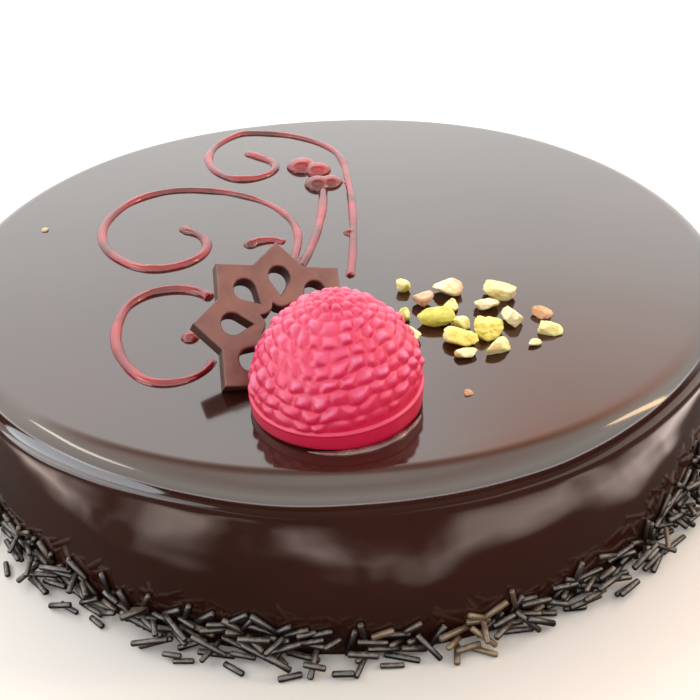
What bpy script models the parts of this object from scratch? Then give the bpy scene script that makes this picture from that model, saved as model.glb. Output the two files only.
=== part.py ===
# A round chocolate-glazed cake with jelly scrollwork, chopped pistachios, chocolate
# sprinkles round its foot, a filigree chocolate flower and a moulded raspberry.
# Units are metres with +Z up. The origin is the middle of the cake's flat underside,
# and the front, where the raspberry sits, faces -Y.

import math
import random

import bmesh
import bpy
from mathutils import Matrix, Vector

MM = 0.001

# Glazed cake: a turned body with a rounded top edge
CAKE_RADIUS = 110.5 * MM
CAKE_HEIGHT = 46.6 * MM
CAKE_SIDES = 64
EDGE_RADIUS = 7.5 * MM
EDGE_STEPS = 5
WALL_STEPS = 3
FOLD_DEPTH = 0.4 * MM
LOBE_DEPTH = 1.8 * MM
LOBE_TURN = math.radians(52)

# Sprinkle bank: the packed heap round the foot that carries the loose-lying sprinkles
BANK_HEIGHT = 5.5 * MM
BANK_TOE = 0.9 * MM
BANK_NARROW = 2.5 * MM
BANK_WIDE = 6.0 * MM

# Chocolate sprinkles
SPRINKLE_SIDES = 5
SPRINKLE_RADIUS = 0.8 * MM
SPRINKLE_SHORT = 5.5 * MM
SPRINKLE_LONG = 9.5 * MM
SPRINKLES_ON_FLOOR = 60
SPRINKLES_ON_BANK = 94
SPRINKLES_ON_WALL = 42
FLOOR_CLEARANCE = 0.35 * MM

# Jelly scrollwork, piped on the top as a bead that stands proud of the glaze
JELLY_RADIUS = 1.75 * MM
JELLY_SUNK = 0.4 * MM
JELLY_STEP = 4.8 * MM
JELLY_DOT_RADIUS = 2.2 * MM
JELLY_DOT_SIDES = 10

# Each scroll starts at a dot with a heading in degrees, and then runs through arcs,
# each given as a radius in millimetres and a turn in degrees (clockwise is negative)
SCROLLS = {
    "large": {"start": (-45.3, 6.5), "heading": -21,
              "arcs": ((12.4, -195), (33, -84), (19, -63), (40, -91), (200, -4))},
    "tall": {"start": (-30.7, 68.8), "heading": -43,
             "arcs": ((550, -1), (9.8, -185), (30, -85), (5, -47), (37, -83), (450, -10.5))},
    "low": {"start": (-33.0, -34.3), "heading": 126,
            "arcs": ((11.9, 136), (37, 50), (9.4, 134))},
    "stem": {"start": (-4.0, 34.0), "heading": -88,
             "arcs": ((190, -16),)},
    "curl": {"start": (-24.8, -3.9), "heading": 50,
             "arcs": ((7, -90),)},
}
# Round dots: place on the top and size against the ordinary dot
JELLY_DOTS = ((-45.3, 7.5, 1.0), (-30.7, 68.8, 1.0), (-24.8, -3.9, 1.0),
              (-35.5, -53.5, 1.15), (4.2, 2.3, 0.95))
# Bud: two jelly mounds of two lobes each, as place, half lengths along X and Y, and height
BUD_LOBES = ((-11.4, 55.0, 5.6, 5.8, 3.5), (-6.0, 51.4, 4.8, 4.8, 3.1),
             (-5.8, 39.0, 4.6, 5.2, 3.3), (-1.6, 40.4, 4.2, 4.6, 2.8))

# Chopped pistachios: place on the top, length, width and height in millimetres, turn in degrees
NUTS = ((18.0, -33.3, 3.4, 2.8, 3.4, 20), (17.2, -47.3, 3.4, 3.0, 3.2, 70),
        (18.2, -56.0, 6.2, 3.4, 2.8, 115), (22.7, -40.4, 5.2, 4.0, 3.4, 40),
        (24.8, -49.7, 8.6, 6.0, 3.8, 10), (29.3, -35.6, 7.0, 5.2, 4.0, 0),
        (29.3, -43.3, 4.8, 3.6, 2.8, 60), (30.8, -52.0, 4.4, 3.2, 3.0, 150),
        (29.6, -59.2, 7.6, 6.0, 4.2, 140), (30.4, -65.2, 5.0, 3.2, 2.2, 5),
        (42.3, -37.6, 7.8, 5.2, 4.0, 160), (38.4, -43.8, 5.8, 3.8, 3.0, 15),
        (43.8, -50.6, 5.6, 4.6, 4.2, 100), (37.0, -55.6, 7.4, 6.4, 4.2, 75),
        (38.0, -62.9, 7.0, 4.0, 2.8, 30), (51.7, -47.9, 5.0, 3.8, 2.8, 0),
        (52.1, -55.5, 5.4, 4.0, 2.8, 155), (47.2, -61.0, 3.2, 2.0, 1.6, 10),
        (29.2, -79.7, 1.9, 1.5, 1.3, 0), (-88.3, 9.7, 2.0, 1.6, 1.1, 30))
NUT_POINTS = 12
NUT_SUNK = 0.35 * MM

# Moulded raspberry: a smooth base band, then staggered rows of drupelets
BERRY_PLACE = (0.2 * MM, -79.5 * MM)
BERRY_RADIUS = 18.9 * MM
BERRY_HEIGHT = 25.0 * MM
BERRY_BAND = 4.2 * MM
BERRY_LIP = 0.5 * MM
BERRY_BAND_SIDES = 54
BERRY_LEAN = 0.055
# Drupelets round each zone of rows, from the band up, and how many rows each zone has
BERRY_ZONES = ((27, 5), (21, 2), (15, 2), (9, 1))
DRUPELET_RELIEF = 0.75 * MM
BERRY_TIP = 2.0 * MM

# Chocolate flower: eight square-cornered petals, a tear-shaped hole in each, an open centre
PETALS = 8
FLOWER_RADIUS = 21.0 * MM
FLOWER_THICKNESS = 4.6 * MM
FLOWER_BEVEL = 0.6 * MM
TEAR_POINT = 7.2 * MM
TEAR_CENTRE = 12.0 * MM
TEAR_RADIUS = 3.0 * MM
TEAR_ARC_STEPS = 8
CENTRE_INNER = 4.2 * MM
CENTRE_OUTER = 5.6 * MM
FLOWER_CENTRE = (-11.5 * MM, -63.2 * MM, 9.1 * MM)
FLOWER_TILT = math.radians(41)
FLOWER_UPHILL = math.radians(121)
FLOWER_SPIN = math.radians(-19)
BERRY_TO_FLOWER = 0.4 * MM
GLAZE_GAP = 0.3 * MM


def clear_scene():
    for obj in list(bpy.data.objects):
        bpy.data.objects.remove(obj, do_unlink=True)


def make_material(name, colour, roughness):
    material = bpy.data.materials.new(name)
    material.use_nodes = True
    shader = material.node_tree.nodes["Principled BSDF"]
    shader.inputs["Base Color"].default_value = (*colour, 1.0)
    shader.inputs["Roughness"].default_value = roughness
    shader.inputs["Metallic"].default_value = 0.0
    return material


def make_object(name, bm, material=None, collection=None):
    mesh = bpy.data.meshes.new(name)
    bm.to_mesh(mesh)
    bm.free()
    obj = bpy.data.objects.new(name, mesh)
    (collection or bpy.context.scene.collection).objects.link(obj)
    if material:
        mesh.materials.append(material)
    return obj


def shade(obj, angle):
    obj.data.shade_smooth()
    obj.data.set_sharp_from_angle(angle=math.radians(angle))


def stitch(bm, lower, upper):
    # Joins two closed rings whose points run the same way round, whatever their counts
    i = 0
    j = 0
    while i < len(lower) or j < len(upper):
        here = lower[i % len(lower)]
        there = upper[j % len(upper)]
        if (i + 0.5) / len(lower) <= (j + 0.5) / len(upper):
            bm.faces.new((here, lower[(i + 1) % len(lower)], there))
            i += 1
        else:
            bm.faces.new((here, upper[(j + 1) % len(upper)], there))
            j += 1


def bank_width(angle):
    swell = 0.5 + 0.3 * math.sin(5 * angle + 4.6) + 0.2 * math.sin(11 * angle + 1.9)
    return BANK_NARROW + (BANK_WIDE - BANK_NARROW) * swell


def wall_radius(angle, height):
    # The plan is slightly lobed towards the back, as a cake spread by hand is, and the
    # poured glaze hangs on the wall in soft folds that die out at the top edge
    backward = (0.5 + 0.5 * math.sin(angle)) ** 2
    lobe = LOBE_DEPTH * backward * math.cos(4 * (angle - LOBE_TURN))
    fade = math.sin(math.pi * min(1.0, max(0.0, height / CAKE_HEIGHT)))
    folds = math.sin(4 * angle + 0.8) + 0.5 * math.sin(11 * angle + 2.1 + height / (8 * MM))
    return CAKE_RADIUS + lobe + FOLD_DEPTH * fade * folds


def body_profile():
    # Rows from the foot to the top as (share of the bank's width, radius inset, height)
    rows = [(1.0, 0.3 * MM, 0.0), (1.0, 0.0, BANK_TOE)]
    rows.append((0.5, 0.0, 0.45 * (BANK_HEIGHT + BANK_TOE)))
    rows.append((0.0, 0.0, BANK_HEIGHT))
    shoulder = CAKE_HEIGHT - EDGE_RADIUS
    for step in range(1, WALL_STEPS + 1):
        rows.append((0.0, 0.0, BANK_HEIGHT + (shoulder - BANK_HEIGHT) * step / WALL_STEPS))
    for step in range(1, EDGE_STEPS + 1):
        turn = 0.5 * math.pi * step / EDGE_STEPS
        rows.append((0.0, EDGE_RADIUS * (1 - math.cos(turn)), shoulder + EDGE_RADIUS * math.sin(turn)))
    return rows


def make_body():
    bm = bmesh.new()
    rings = []
    for share, inset, height in body_profile():
        ring = []
        for side in range(CAKE_SIDES):
            angle = 2 * math.pi * side / CAKE_SIDES
            radius = wall_radius(angle, height) + share * bank_width(angle) - inset
            ring.append(bm.verts.new((radius * math.cos(angle), radius * math.sin(angle), height)))
        rings.append(ring)
    for lower, upper in zip(rings, rings[1:]):
        stitch(bm, lower, upper)
    bm.faces.new(rings[-1])
    bm.faces.new(list(reversed(rings[0])))
    return bm


def add_rod(bm, start, end, radius):
    axis = end - start
    turn = axis.to_track_quat("Z", "Y").to_matrix().to_4x4()
    place = Matrix.Translation((start + end) / 2) @ turn
    bmesh.ops.create_cone(bm, cap_ends=True, segments=SPRINKLE_SIDES, radius1=radius,
                          radius2=radius, depth=axis.length, matrix=place)


def on_foot(angle, reach, height):
    # A point beyond the cake's wall, given by how far out it is and its height
    radius = wall_radius(angle, height) + reach
    return Vector((radius * math.cos(angle), radius * math.sin(angle), height))


def sprinkle_on_floor(angle, dice):
    # Lies flat, with its inner end held in the bank
    length = dice.uniform(SPRINKLE_SHORT, SPRINKLE_LONG)
    inner = on_foot(angle, 0.45 * bank_width(angle), SPRINKLE_RADIUS + FLOOR_CLEARANCE)
    bearing = angle + dice.uniform(-1.25, 1.25)
    rise = dice.uniform(0.0, 0.18)
    heading = Vector((math.cos(bearing), math.sin(bearing), rise)).normalized()
    return inner, inner + heading * length


def sprinkle_on_bank(angle, dice):
    # Lies along the bank's slope in any direction, half sunk in it
    length = dice.uniform(SPRINKLE_SHORT, SPRINKLE_LONG)
    share = dice.uniform(0.25, 0.7)
    width = bank_width(angle)
    centre = on_foot(angle, share * width, BANK_HEIGHT * (1 - share) + BANK_TOE * share + 0.3 * MM)
    outward = Vector((math.cos(angle), math.sin(angle), 0.0))
    along = Vector((-math.sin(angle), math.cos(angle), 0.0))
    downhill = (outward * width - Vector((0, 0, BANK_HEIGHT - BANK_TOE))).normalized()
    turn = dice.uniform(0, math.pi)
    heading = along * math.cos(turn) + downhill * math.sin(turn)
    return centre - heading * length / 2, centre + heading * length / 2


def sprinkle_on_wall(angle, dice):
    # Clings to the glaze just above the bank, upright or slanting
    length = dice.uniform(SPRINKLE_SHORT, 0.8 * SPRINKLE_LONG)
    turn = dice.uniform(-1.3, 1.3)
    height = BANK_HEIGHT + dice.uniform(0.0, 2.5) * MM
    centre = on_foot(angle, 0.1 * MM, height)
    along = Vector((-math.sin(angle), math.cos(angle), 0.0))
    heading = along * math.sin(turn) + Vector((0, 0, math.cos(turn)))
    return centre - heading * length / 2, centre + heading * length / 2


def make_sprinkles(collection):
    dice = random.Random(11)
    rows = ((sprinkle_on_floor, SPRINKLES_ON_FLOOR), (sprinkle_on_bank, SPRINKLES_ON_BANK),
            (sprinkle_on_wall, SPRINKLES_ON_WALL))
    for row, (lay, count) in enumerate(rows):
        for index in range(count):
            share = (index + row / 3 + dice.uniform(-0.45, 0.45)) / count
            start, end = lay(2 * math.pi * share, dice)
            radius = SPRINKLE_RADIUS * dice.uniform(0.9, 1.1)
            lowest = min(start.z, end.z) - radius
            lift = Vector((0, 0, max(0.0, FLOOR_CLEARANCE - lowest)))
            bm = bmesh.new()
            add_rod(bm, start + lift, end + lift, radius)
            make_object(f"sprinkle_{row}_{index}", bm, collection=collection)


def trace_scroll(start, heading, arcs):
    # Walks the arcs from the start and returns evenly spaced points on the cake's top
    x, y = start[0] * MM, start[1] * MM
    angle = math.radians(heading)
    points = [Vector((x, y))]
    for radius, degrees in arcs:
        turn = math.radians(degrees)
        steps = max(1, round(abs(radius * MM * turn) / JELLY_STEP), math.ceil(abs(degrees) / 24))
        chord = 2 * radius * MM * math.sin(abs(turn) / steps / 2)
        for _ in range(steps):
            angle += turn / steps / 2
            x += chord * math.cos(angle)
            y += chord * math.sin(angle)
            angle += turn / steps / 2
            points.append(Vector((x, y)))
    return points


def make_scroll(name, points, collection):
    curve = bpy.data.curves.new(name, "CURVE")
    curve.dimensions = "3D"
    curve.twist_mode = "Z_UP"
    curve.bevel_depth = JELLY_RADIUS
    curve.bevel_resolution = 2
    curve.use_fill_caps = True
    spline = curve.splines.new("POLY")
    spline.points.add(len(points) - 1)
    for knot, point in zip(spline.points, points):
        knot.co = (point.x, point.y, CAKE_HEIGHT - JELLY_SUNK, 1)
    guide = bpy.data.objects.new(name, curve)
    bpy.context.scene.collection.objects.link(guide)
    mesh = bpy.data.meshes.new_from_object(guide.evaluated_get(bpy.context.evaluated_depsgraph_get()))
    bpy.data.objects.remove(guide, do_unlink=True)
    bm = bmesh.new()
    bm.from_mesh(mesh)
    bmesh.ops.remove_doubles(bm, verts=bm.verts[:], dist=0.00001)
    bmesh.ops.recalc_face_normals(bm, faces=bm.faces[:])
    make_object(name, bm, collection=collection)


def make_mound(name, x, y, half_x, half_y, height, collection):
    bm = bmesh.new()
    place = Matrix.Translation((x * MM, y * MM, CAKE_HEIGHT - JELLY_SUNK))
    size = Matrix.Diagonal((half_x * MM, half_y * MM, height * MM, 1))
    bmesh.ops.create_uvsphere(bm, u_segments=JELLY_DOT_SIDES, v_segments=JELLY_DOT_SIDES // 2, radius=1.0,
                              matrix=place @ size)
    make_object(name, bm, collection=collection)


def make_jelly(collection):
    for name, scroll in SCROLLS.items():
        points = trace_scroll(scroll["start"], scroll["heading"], scroll["arcs"])
        make_scroll(f"scroll_{name}", points, collection)
    dot = JELLY_DOT_RADIUS / MM
    for index, (x, y, scale) in enumerate(JELLY_DOTS):
        make_mound(f"dot_{index}", x, y, dot * scale, dot * scale, 0.75 * dot * scale, collection)
    for index, (x, y, half_x, half_y, height) in enumerate(BUD_LOBES):
        make_mound(f"bud_{index}", x, y, half_x, half_y, height, collection)


def make_nuts(collection):
    # Each piece is the hull of points scattered over a ball, pressed to its own three sizes
    dice = random.Random(5)
    for index, (x, y, length, width, height, turn) in enumerate(NUTS):
        bm = bmesh.new()
        for point in range(NUT_POINTS):
            z = 1 - 2 * (point + 0.5) / NUT_POINTS
            around = point * math.pi * (3 - math.sqrt(5)) + dice.uniform(-0.5, 0.5)
            flat = math.sqrt(1 - z * z)
            reach = dice.uniform(0.8, 1.2)
            bm.verts.new((reach * flat * math.cos(around), reach * flat * math.sin(around), reach * z))
        bmesh.ops.convex_hull(bm, input=bm.verts[:])
        bmesh.ops.recalc_face_normals(bm, faces=bm.faces[:])
        for axis, size in enumerate((length, width, height)):
            low = min(vert.co[axis] for vert in bm.verts)
            high = max(vert.co[axis] for vert in bm.verts)
            for vert in bm.verts:
                vert.co[axis] = ((vert.co[axis] - low) / (high - low) - 0.5) * size * MM
        place = Matrix.Translation((x * MM, y * MM, CAKE_HEIGHT - NUT_SUNK + height * MM / 2))
        bm.transform(place @ Matrix.Rotation(math.radians(turn), 4, "Z"))
        make_object(f"nut_{index}", bm, collection=collection)


def evaluated_mesh(obj):
    depsgraph = bpy.context.evaluated_depsgraph_get()
    return bpy.data.meshes.new_from_object(obj.evaluated_get(depsgraph))


def keep_largest_body(mesh):
    # Drops sealed hollows and loose scraps, which are pieces with no edge in common with the rest
    bm = bmesh.new()
    bm.from_mesh(mesh)
    bmesh.ops.remove_doubles(bm, verts=bm.verts[:], dist=0.000002)
    bmesh.ops.triangulate(bm, faces=bm.faces[:])
    left = set(bm.verts)
    pieces = []
    while left:
        front = [left.pop()]
        piece = set(front)
        while front:
            for edge in front.pop().link_edges:
                for vert in edge.verts:
                    if vert in left:
                        left.discard(vert)
                        piece.add(vert)
                        front.append(vert)
        pieces.append(piece)
    pieces.sort(key=len, reverse=True)
    scraps = [vert for piece in pieces[1:] for vert in piece]
    bmesh.ops.delete(bm, geom=scraps, context="VERTS")
    bm.to_mesh(mesh)
    bm.free()


def make_cake(material):
    body = make_object("cake", make_body(), material)
    toppings = bpy.data.collections.new("toppings")
    bpy.context.scene.collection.children.link(toppings)
    make_sprinkles(toppings)
    make_jelly(toppings)
    make_nuts(toppings)
    join = body.modifiers.new("join_toppings", "BOOLEAN")
    join.operation = "UNION"
    join.operand_type = "COLLECTION"
    join.collection = toppings
    join.solver = "EXACT"
    joined = evaluated_mesh(body)
    body.modifiers.remove(join)
    for topping in list(toppings.objects):
        bpy.data.objects.remove(topping, do_unlink=True)
    bpy.data.collections.remove(toppings)
    keep_largest_body(joined)
    joined.materials.clear()
    joined.materials.append(material)
    body.data = joined
    shade(body, 35)
    return body


def berry_outline(share):
    # Radius and height on the rounded cone, from the band (0) to the tip (1)
    height = math.sin(0.5 * math.pi * share) ** 0.98
    radius = (1 - height ** 1.9) ** 0.66
    return (BERRY_RADIUS - BERRY_LIP) * radius, BERRY_BAND + (BERRY_HEIGHT - BERRY_BAND) * height


def berry_normal(share):
    low_radius, low_height = berry_outline(max(0.0, share - 0.01))
    high_radius, high_height = berry_outline(min(1.0, share + 0.01))
    return Vector((high_height - low_height, low_radius - high_radius)).normalized()


def stitch_drupelets(bm, lower, upper):
    # Rings of equal count are joined by quads folded along their more outward diagonal,
    # which leaves every raised point as the top of a small pyramid
    heart = Vector((0, 0, BERRY_BAND))
    count = len(lower)
    for index in range(count):
        after = (index + 1) % count
        corners = (lower[index], lower[after], upper[after], upper[index])
        rising = (corners[0].co + corners[2].co) / 2 - heart
        falling = (corners[1].co + corners[3].co) / 2 - heart
        if rising.length >= falling.length:
            bm.faces.new((corners[0], corners[1], corners[2]))
            bm.faces.new((corners[0], corners[2], corners[3]))
        else:
            bm.faces.new((corners[0], corners[1], corners[3]))
            bm.faces.new((corners[1], corners[2], corners[3]))


def make_berry(material, swell=0.0):
    # swell grows the shape all round, for cutting its neighbours clear of it
    bm = bmesh.new()
    rings = []

    def add_ring(count, radius, height, raised=None, push=(0.0, 0.0)):
        ring = []
        for index in range(count):
            angle = 2 * math.pi * index / count
            lift = raised is not None and index % 2 == raised
            reach = radius + (push[0] if lift else 0.0)
            rise = height + (push[1] if lift else 0.0)
            ring.append(bm.verts.new((reach * math.cos(angle), reach * math.sin(angle), rise)))
        rings.append(ring)

    add_ring(BERRY_BAND_SIDES, BERRY_RADIUS - BERRY_LIP, 0.0)
    add_ring(BERRY_BAND_SIDES, BERRY_RADIUS, BERRY_LIP)
    add_ring(BERRY_BAND_SIDES, BERRY_RADIUS, BERRY_BAND - BERRY_LIP)
    row_count = sum(rows for count, rows in BERRY_ZONES)
    row = 0
    for count, rows in BERRY_ZONES:
        for _ in range(rows):
            share = (1 - BERRY_TIP / BERRY_HEIGHT) * row / row_count
            middle = (1 - BERRY_TIP / BERRY_HEIGHT) * (row + 0.5) / row_count
            add_ring(2 * count, *berry_outline(share))
            push = berry_normal(middle) * DRUPELET_RELIEF * (1 - 0.4 * middle)
            add_ring(2 * count, *berry_outline(middle), raised=row % 2, push=push)
            row += 1
    add_ring(2 * BERRY_ZONES[-1][0], *berry_outline(1 - BERRY_TIP / BERRY_HEIGHT))
    for lower, upper in zip(rings, rings[1:]):
        if len(lower) == len(upper):
            stitch_drupelets(bm, lower, upper)
        else:
            stitch(bm, lower, upper)
    tip = bm.verts.new((0, 0, BERRY_HEIGHT))
    for index, vert in enumerate(rings[-1]):
        bm.faces.new((vert, rings[-1][(index + 1) % len(rings[-1])], tip))
    bm.faces.new(list(reversed(rings[0])))
    for vert in bm.verts:
        # The band is deeper on the right, as the berry sits a little askew
        if vert.co.z > 2 * BERRY_LIP:
            vert.co.z += BERRY_LEAN * vert.co.x
    bm.normal_update()
    for vert in bm.verts:
        vert.co += vert.normal * swell
    bm.transform(Matrix.Translation((*BERRY_PLACE, CAKE_HEIGHT + GLAZE_GAP)))
    return make_object("raspberry", bm, material)


def add_outline(curve, points):
    spline = curve.splines.new("POLY")
    spline.points.add(len(points) - 1)
    for knot, (radius, angle) in zip(spline.points, points):
        knot.co = (radius * math.cos(angle), radius * math.sin(angle), 0, 1)
    spline.use_cyclic_u = True


def tear_outline(petal_angle):
    # A round outer end whose sides run straight in to a point
    half_width = math.acos(TEAR_RADIUS / (TEAR_CENTRE - TEAR_POINT))
    sweep = math.pi - half_width
    points = [(TEAR_POINT, petal_angle)]
    for step in range(TEAR_ARC_STEPS + 1):
        turn = -sweep + 2 * sweep * step / TEAR_ARC_STEPS
        x = TEAR_CENTRE + TEAR_RADIUS * math.cos(turn)
        y = TEAR_RADIUS * math.sin(turn)
        points.append((math.hypot(x, y), petal_angle + math.atan2(y, x)))
    return points


def make_flower(material):
    # The outline is two squares laid across each other, so each petal ends in a right angle
    curve = bpy.data.curves.new("flower_outline", "CURVE")
    curve.dimensions = "2D"
    curve.fill_mode = "BOTH"
    curve.extrude = FLOWER_THICKNESS / 2 - FLOWER_BEVEL
    curve.bevel_depth = FLOWER_BEVEL
    curve.bevel_resolution = 0
    curve.offset = -FLOWER_BEVEL
    pitch = 2 * math.pi / PETALS
    valley = FLOWER_RADIUS * math.cos(pitch) / math.cos(pitch / 2)
    outline = []
    centre = []
    for petal in range(PETALS):
        angle = petal * pitch
        outline += [(FLOWER_RADIUS, angle), (valley, angle + pitch / 2)]
        scallop = (CENTRE_INNER + CENTRE_OUTER) / 2
        centre += [(CENTRE_INNER, angle), (0.94 * scallop, angle + 0.3 * pitch),
                   (CENTRE_OUTER, angle + 0.5 * pitch), (0.94 * scallop, angle + 0.7 * pitch)]
        add_outline(curve, tear_outline(angle))
    add_outline(curve, outline)
    add_outline(curve, centre)
    guide = bpy.data.objects.new("flower_outline", curve)
    bpy.context.scene.collection.objects.link(guide)
    mesh = evaluated_mesh(guide)
    bpy.data.objects.remove(guide, do_unlink=True)
    bm = bmesh.new()
    bm.from_mesh(mesh)
    bmesh.ops.remove_doubles(bm, verts=bm.verts[:], dist=0.00001)
    bmesh.ops.recalc_face_normals(bm, faces=bm.faces[:])
    uphill = Matrix.Rotation(FLOWER_UPHILL - math.pi / 2, 4, "Z")
    lean = uphill @ Matrix.Rotation(FLOWER_TILT, 4, "X") @ Matrix.Rotation(FLOWER_SPIN, 4, "Z")
    x, y, rise = FLOWER_CENTRE
    back = lean @ Vector((0, 0, -FLOWER_THICKNESS / 2))
    bm.transform(Matrix.Translation(Vector((x, y, CAKE_HEIGHT + rise)) + back) @ lean)
    return make_object("chocolate_flower", bm, material)


def cut_flower(flower, material):
    # The low petals end at the glaze and at the berry that they lean on
    berry_space = make_berry(material, swell=BERRY_TO_FLOWER)
    bm = bmesh.new()
    depth = 20 * MM
    bmesh.ops.create_cube(bm, size=1.0, matrix=Matrix.Translation(
        (FLOWER_CENTRE[0], FLOWER_CENTRE[1], CAKE_HEIGHT + GLAZE_GAP - depth / 2))
        @ Matrix.Diagonal((4 * FLOWER_RADIUS, 4 * FLOWER_RADIUS, depth, 1)))
    glaze_space = make_object("glaze_space", bm)
    for space in (glaze_space, berry_space):
        cut = flower.modifiers.new("cut", "BOOLEAN")
        cut.operation = "DIFFERENCE"
        cut.object = space
        cut.solver = "EXACT"
    trimmed = evaluated_mesh(flower)
    flower.modifiers.clear()
    for space in (glaze_space, berry_space):
        bpy.data.objects.remove(space, do_unlink=True)
    keep_largest_body(trimmed)
    trimmed.materials.clear()
    trimmed.materials.append(material)
    flower.data = trimmed
    shade(flower, 30)


def main():
    clear_scene()
    glaze = make_material("chocolate_glaze", (0.055, 0.022, 0.016), 0.12)
    chocolate = make_material("flower_chocolate", (0.12, 0.055, 0.04), 0.5)
    berry_pink = make_material("berry_pink", (0.78, 0.05, 0.14), 0.45)
    make_cake(glaze)
    cut_flower(make_flower(chocolate), chocolate)
    berry = make_berry(berry_pink)
    shade(berry, 60)


main()
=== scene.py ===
import math
import random

import bmesh
import bpy
import numpy as np
from mathutils import Matrix, Vector, noise


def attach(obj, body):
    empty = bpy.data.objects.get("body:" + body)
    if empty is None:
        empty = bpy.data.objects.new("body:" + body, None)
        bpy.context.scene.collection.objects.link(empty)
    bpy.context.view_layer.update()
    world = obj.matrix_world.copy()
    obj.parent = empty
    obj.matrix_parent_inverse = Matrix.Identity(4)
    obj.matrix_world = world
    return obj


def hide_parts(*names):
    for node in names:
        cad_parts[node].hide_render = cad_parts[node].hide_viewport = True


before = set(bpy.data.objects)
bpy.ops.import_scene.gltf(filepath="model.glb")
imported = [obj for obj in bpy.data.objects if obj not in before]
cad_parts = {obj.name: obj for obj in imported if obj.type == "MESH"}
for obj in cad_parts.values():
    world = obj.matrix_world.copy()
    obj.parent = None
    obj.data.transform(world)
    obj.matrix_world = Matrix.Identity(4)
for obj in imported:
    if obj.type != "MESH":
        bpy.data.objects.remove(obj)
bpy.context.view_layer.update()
mm = 0.001
fullTurn = 2 * math.pi


def linked(name, data):
    thing = bpy.data.objects.new(name, data)
    bpy.context.scene.collection.objects.link(thing)
    return thing


camera = {
    "eye": (3.4 * mm, -234.8 * mm, 161.4 * mm),
    "pitchDown": 33.45,        # degrees below the horizon
    "roll": -1.63,
    "focalPixels": 877.7,      # in a picture 700 pixels wide
    "pictureWidth": 700,
    "sensor": 36,
    "nearest": 10 * mm,
    "farthest": 100,
}


def placeCamera():
    lens = bpy.data.cameras.new("camera")
    lens.sensor_width = camera["sensor"]
    lens.lens = camera["focalPixels"] * camera["sensor"] / camera["pictureWidth"]
    lens.clip_start = camera["nearest"]
    lens.clip_end = camera["farthest"]
    eye = linked("camera", lens)
    pitch = math.radians(camera["pitchDown"])
    roll = math.radians(camera["roll"])
    turn = Matrix.Rotation(math.pi / 2 - pitch, 4, "X") @ Matrix.Rotation(roll, 4, "Z")
    eye.matrix_world = Matrix.Translation(camera["eye"]) @ turn
    bpy.context.scene.camera = eye


placeCamera()
print("camera placed")


# Materials

def linear(hexColour):
    # sRGB hex to the linear colour that a socket takes
    channels = [int(hexColour[i:i + 2], 16) / 255 for i in (1, 3, 5)]
    return [c / 12.92 if c <= 0.04045 else ((c + 0.055) / 1.055) ** 2.4 for c in channels] + [1.0]


def asLinear(colour):
    return linear(colour) if isinstance(colour, str) else colour


def addNode(tree, kind, inputs=None, **settings):
    # inputs gives each socket, by name or number, a value or another node's output
    node = tree.nodes.new(kind)
    for name, value in settings.items():
        setattr(node, name, value)
    for socket, value in (inputs or {}).items():
        if isinstance(value, bpy.types.NodeSocket):
            tree.links.new(value, node.inputs[socket])
        else:
            node.inputs[socket].default_value = value
    return node


def addNoise(tree, place, size, detail=2.0):
    # size is about one cell of the pattern on object coordinates, in millimetres
    return addNode(tree, "ShaderNodeTexNoise", {
        "Vector": place, "Scale": 1 / (size * mm), "Detail": detail}).outputs["Fac"]


def addRamp(tree, value, stops):
    # stops are pairs of a position and an sRGB hex or a linear colour, in rising order
    node = addNode(tree, "ShaderNodeValToRGB", {"Fac": value})
    ramp = node.color_ramp
    while len(ramp.elements) < len(stops):
        ramp.elements.new(1.0)
    for element, (position, colour) in zip(ramp.elements, stops):
        element.position = position
        element.color = asLinear(colour)
    return node.outputs["Color"]


def addRange(tree, value, fromRange, toRange=(0.0, 1.0), interpolation="LINEAR"):
    return addNode(tree, "ShaderNodeMapRange", {
        "Value": value, "From Min": fromRange[0], "From Max": fromRange[1],
        "To Min": toRange[0], "To Max": toRange[1]}, interpolation_type=interpolation).outputs["Result"]


def addMix(tree, share, first, second, blend="MIX"):
    return addNode(tree, "ShaderNodeMix", {0: share, 6: asLinear(first), 7: asLinear(second)},
                   data_type="RGBA", blend_type=blend).outputs[2]


def addMath(tree, operation, *values):
    return addNode(tree, "ShaderNodeMath", dict(enumerate(values)), operation=operation).outputs[0]


def addBump(tree, shader, height, strength, depth):
    bump = addNode(tree, "ShaderNodeBump", {"Height": height, "Strength": strength, "Distance": depth})
    tree.links.new(bump.outputs["Normal"], shader.inputs["Normal"])


def newMaterial(name, inputs):
    material = bpy.data.materials.new(name)
    material.use_nodes = True
    shader = material.node_tree.nodes["Principled BSDF"]
    for socket, value in inputs.items():
        shader.inputs[socket].default_value = value
    return material, material.node_tree, shader


def cloudyMaterial(name, inputs, size, detail, *tones):
    # Its colour drifts between tones, in clouds of this size in millimetres
    material, tree, shader = newMaterial(name, inputs)
    place = addNode(tree, "ShaderNodeTexCoord").outputs["Object"]
    tree.links.new(addRamp(tree, addNoise(tree, place, size, detail), tones), shader.inputs["Base Color"])
    return material, tree, shader, place


# Meshes

def meshObject(name, bm):
    mesh = bpy.data.meshes.new(name)
    bm.to_mesh(mesh)
    bm.free()
    return linked(name, mesh)


def newPiece(name, bm, material, node):
    # Turns a finished bmesh into a piece that rides with the cake and stands for its CAD node
    piece = meshObject(name, bm)
    piece.data.shade_smooth()
    piece.data.materials.append(material)
    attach(piece, "root")
    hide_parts(node)
    print(f"{name}: {sum(len(face.vertices) - 2 for face in piece.data.polygons)} triangles")
    return piece


def settled(working, helpers=()):
    # The evaluated object as a bmesh; the object and its helpers go afterwards
    result = bpy.data.meshes.new_from_object(
        working.evaluated_get(bpy.context.evaluated_depsgraph_get()))
    for thing in (working, *helpers):
        bpy.data.objects.remove(thing, do_unlink=True)
    bm = bmesh.new()
    bm.from_mesh(result)
    return bm


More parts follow.
